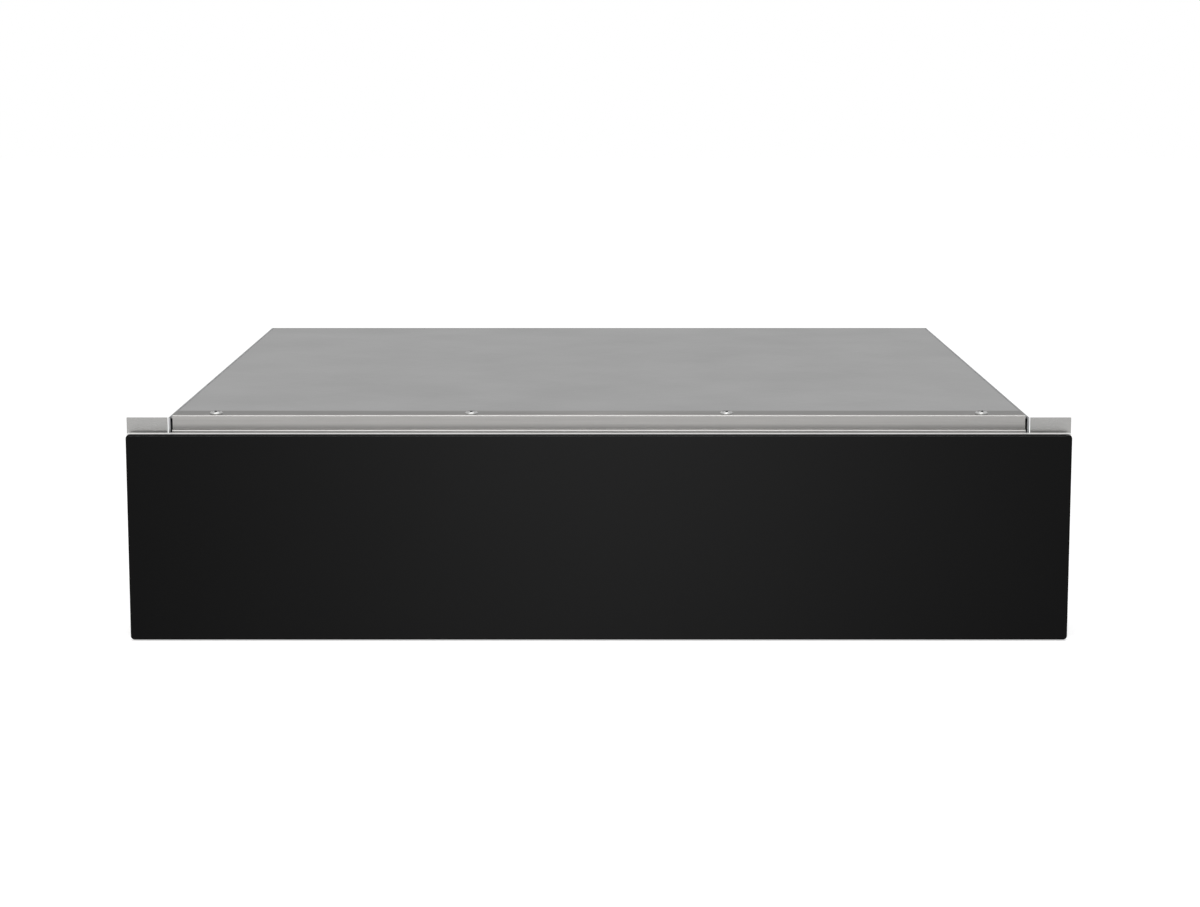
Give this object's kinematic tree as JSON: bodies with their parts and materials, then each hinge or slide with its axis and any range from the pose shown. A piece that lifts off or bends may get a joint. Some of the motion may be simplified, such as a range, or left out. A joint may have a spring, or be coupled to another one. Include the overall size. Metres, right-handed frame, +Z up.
{
  "type": "built-in warming drawer",
  "caption": "Low built-in warming drawer: flat matt black push-to-open front, sheet-steel case with mounting flanges, box on telescopic slides with fan heater and control panel.",
  "frame": {"origin": "centre of the footprint, on the floor under the rubber feet", "axes": "+Z up; the front faces -Y and the drawer opens towards -Y; +X to the right seen from the front"},
  "size_m": [0.598, 0.5594, 0.1445],
  "materials": {
    "galvanised_steel": "satin galvanised sheet",
    "cover_steel": "matt neutral grey sheet",
    "flange_steel": "satin sheet",
    "rail_steel": "brushed along its length",
    "box_steel": "brushed stainless",
    "slide_steel": "bright zinc",
    "screw_steel": "bright",
    "cage_brass": "satin",
    "fan_aluminium": "satin",
    "motor_iron": "varnished laminations",
    "heater_sheath": "heat-tinted sheath",
    "black_facing": "matt black",
    "insulating_board": "pressed mineral board",
    "black_rubber": "matt",
    "mat_rubber": "matt",
    "lead_rubber": "satin",
    "black_plastic": "fine grain",
    "white_plastic": "moulded",
    "amber_lens": "clear amber"
  },
  "bodies": {
    "case": {"base_pan": "galvanised_steel", "left_side_panel": "galvanised_steel", "right_side_panel": "galvanised_steel", "rear_panel": "galvanised_steel", "top_cover": "cover_steel", "front_rail": "rail_steel", "rail_screws": "screw_steel", "left_flange": "flange_steel", "right_flange": "flange_steel", "flange_rivets": "screw_steel", "lower_sill": "galvanised_steel", "feet": "black_rubber", "case_screws": "screw_steel", "left_slide_outer": "slide_steel", "right_slide_outer": "slide_steel", "slide_screws": "screw_steel", "left_latch_body": "white_plastic", "right_latch_body": "white_plastic", "terminal_block": "white_plastic", "terminal_cover": "white_plastic", "cable_gland": "black_plastic", "trailing_lead": "lead_rubber"},
    "drawer": {"front_facing": "black_facing", "front_carrier": "rail_steel", "front_insulation": "insulating_board", "front_screws": "screw_steel", "front_buffers": "black_rubber", "drawer_floor": "box_steel", "drawer_left_wall": "box_steel", "drawer_right_wall": "box_steel", "drawer_front_wall": "box_steel", "drawer_rear_wall": "box_steel", "anti_slip_mat": "mat_rubber", "control_fascia": "box_steel", "thermostat": "white_plastic", "switch_body": "black_plastic", "pilot_lamp": "amber_lens", "heating_element": "heater_sheath", "fan_baffle": "galvanised_steel", "rear_guard": "box_steel", "fan_motor": "motor_iron", "thermal_cutout": "black_plastic", "drawer_wiring": "lead_rubber", "left_slide_inner": "slide_steel", "right_slide_inner": "slide_steel", "slide_rivets": "screw_steel", "striker_plates": "screw_steel"},
    "left_middle": {"left_slide_middle": "slide_steel"},
    "right_middle": {"right_slide_middle": "slide_steel"},
    "left_outer_balls": {"left_outer_cage": "cage_brass"},
    "right_outer_balls": {"right_outer_cage": "cage_brass"},
    "left_inner_balls": {"left_inner_cage": "cage_brass"},
    "right_inner_balls": {"right_inner_cage": "cage_brass"},
    "knob": {"thermostat_knob": "black_plastic"},
    "rocker": {"switch_rocker": "black_plastic"},
    "fan": {"fan_impeller": "fan_aluminium"},
    "left_plunger": {"left_latch_plunger": "black_plastic"},
    "right_plunger": {"right_latch_plunger": "black_plastic"}
  },
  "joints": [
    {"name": "drawer_slide", "type": "slide", "parent": "case", "child": "drawer", "axis": [0, -1, 0], "range_m": [-0.0025, 0.42], "deforming": ["trailing_lead"]},
    {"name": "left_middle_slide", "type": "slide", "parent": "case", "child": "left_middle", "axis": [0, -1, 0], "range_m": [-0.0013, 0.2101]},
    {"name": "right_middle_slide", "type": "slide", "parent": "case", "child": "right_middle", "axis": [0, -1, 0], "range_m": [-0.0013, 0.2101]},
    {"name": "left_outer_ball_slide", "type": "slide", "parent": "case", "child": "left_outer_balls", "axis": [0, -1, 0], "range_m": [-0.0007, 0.1051]},
    {"name": "right_outer_ball_slide", "type": "slide", "parent": "case", "child": "right_outer_balls", "axis": [0, -1, 0], "range_m": [-0.0007, 0.1051]},
    {"name": "left_inner_ball_slide", "type": "slide", "parent": "case", "child": "left_inner_balls", "axis": [0, -1, 0], "range_m": [-0.0019, 0.3151]},
    {"name": "right_inner_ball_slide", "type": "slide", "parent": "case", "child": "right_inner_balls", "axis": [0, -1, 0], "range_m": [-0.0019, 0.3151]},
    {"name": "knob_turn", "type": "hinge", "parent": "drawer", "child": "knob", "pos_m": [0.178, -0.2462, 0.108], "axis": [0, 0, -1], "range_deg": [0, 270]},
    {"name": "rocker_tilt", "type": "hinge", "parent": "drawer", "child": "rocker", "pos_m": [0.128, -0.2462, 0.105], "axis": [0, -1, 0], "range_deg": [0, 14]},
    {"name": "fan_spin", "type": "hinge", "parent": "drawer", "child": "fan", "pos_m": [0, 0.2163, 0.067], "axis": [0, 1, 0], "continuous": true},
    {"name": "left_latch_press", "type": "slide", "parent": "case", "child": "left_plunger", "axis": [0, 1, 0], "range_m": [0, 0.0025], "stiffness_N_per_m": 400, "springref_m": -0.005},
    {"name": "right_latch_press", "type": "slide", "parent": "case", "child": "right_plunger", "axis": [0, 1, 0], "range_m": [0, 0.0025], "stiffness_N_per_m": 400, "springref_m": -0.005}
  ],
  "couplings": [
    {"joint": "left_middle_slide", "follows": "drawer_slide", "ratio": 0.5},
    {"joint": "right_middle_slide", "follows": "drawer_slide", "ratio": 0.5},
    {"joint": "left_outer_ball_slide", "follows": "drawer_slide", "ratio": 0.25},
    {"joint": "right_outer_ball_slide", "follows": "drawer_slide", "ratio": 0.25},
    {"joint": "left_inner_ball_slide", "follows": "drawer_slide", "ratio": 0.75},
    {"joint": "right_inner_ball_slide", "follows": "drawer_slide", "ratio": 0.75}
  ]
}
